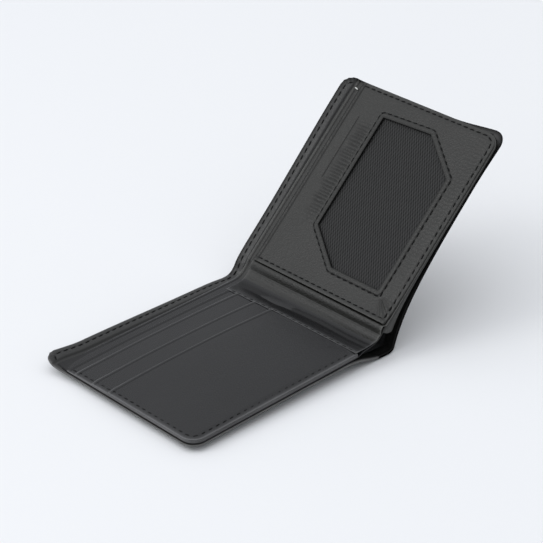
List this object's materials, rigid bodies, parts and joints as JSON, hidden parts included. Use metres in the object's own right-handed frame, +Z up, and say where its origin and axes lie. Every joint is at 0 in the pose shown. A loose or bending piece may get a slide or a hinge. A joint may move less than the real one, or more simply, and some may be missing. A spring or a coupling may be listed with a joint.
{
  "type": "bifold wallet",
  "caption": "Bifold wallet in dark grained leather, half open, with card slots on the lying side, a mesh ID window on the raised side and a banknote compartment behind both.",
  "frame": {"origin": "bottom centre of the half-open wallet's bounding box", "axes": "+X from the card side's free edge across the fold towards the raised ID side, +Y along the fold from the bottom seam to the mouth of the banknote compartment, +Z up"},
  "size_m": [0.1846, 0.0956, 0.082],
  "materials": {
    "shell_leather": "black grained leather, satin",
    "card_leather": "smooth black leather, satin",
    "id_leather": "black pebbled leather, satin",
    "lining_cloth": "black woven lining, matt",
    "window_mesh": "fine black mesh, matt",
    "thread": "black sewing thread"
  },
  "bodies": {
    "card_side": {"backing_card_side": "card_leather", "card_panel": "card_leather", "card_slot_lower": "card_leather", "card_slot_upper": "card_leather", "front_pocket": "card_leather", "gusset_card_flange": "card_leather", "lining_card_side": "lining_cloth", "mouth_facing_card_side": "shell_leather", "shell_card_side": "shell_leather", "thread_edge_card_side": "thread", "thread_gusset_card_side": "thread", "thread_mouth_card_side": "thread"},
    "fold": {"backing_spine": "card_leather", "gusset_spine": "card_leather", "lining_spine": "lining_cloth", "mouth_facing_spine": "shell_leather", "shell_spine": "shell_leather", "thread_mouth_spine": "thread"},
    "id_side": {"backing_id_side": "card_leather", "gusset_id_flange": "card_leather", "id_panel": "id_leather", "id_pocket_back": "id_leather", "id_window_mesh": "window_mesh", "lining_id_side": "lining_cloth", "mouth_facing_id_side": "shell_leather", "shell_id_side": "shell_leather", "thread_edge_id_side": "thread", "thread_mouth_id_side": "thread", "thread_window": "thread"}
  },
  "joints": [
    {"name": "card_side_fold", "type": "hinge", "parent": "card_side", "child": "fold", "pos_m": [0.00747, 0, 0.00469], "axis": [0, -1, 0], "range_deg": [-20.4, 69.2], "deforming": ["backing_spine", "gusset_spine", "lining_spine", "mouth_facing_spine", "shell_spine", "thread_mouth_spine"]},
    {"name": "id_side_fold", "type": "hinge", "parent": "fold", "child": "id_side", "pos_m": [0.01789, 0, 0.00911], "axis": [0, -1, 0], "range_deg": [-20.4, 69.2]}
  ],
  "couplings": [
    {"joint": "card_side_fold", "follows": "id_side_fold", "ratio": 1}
  ]
}
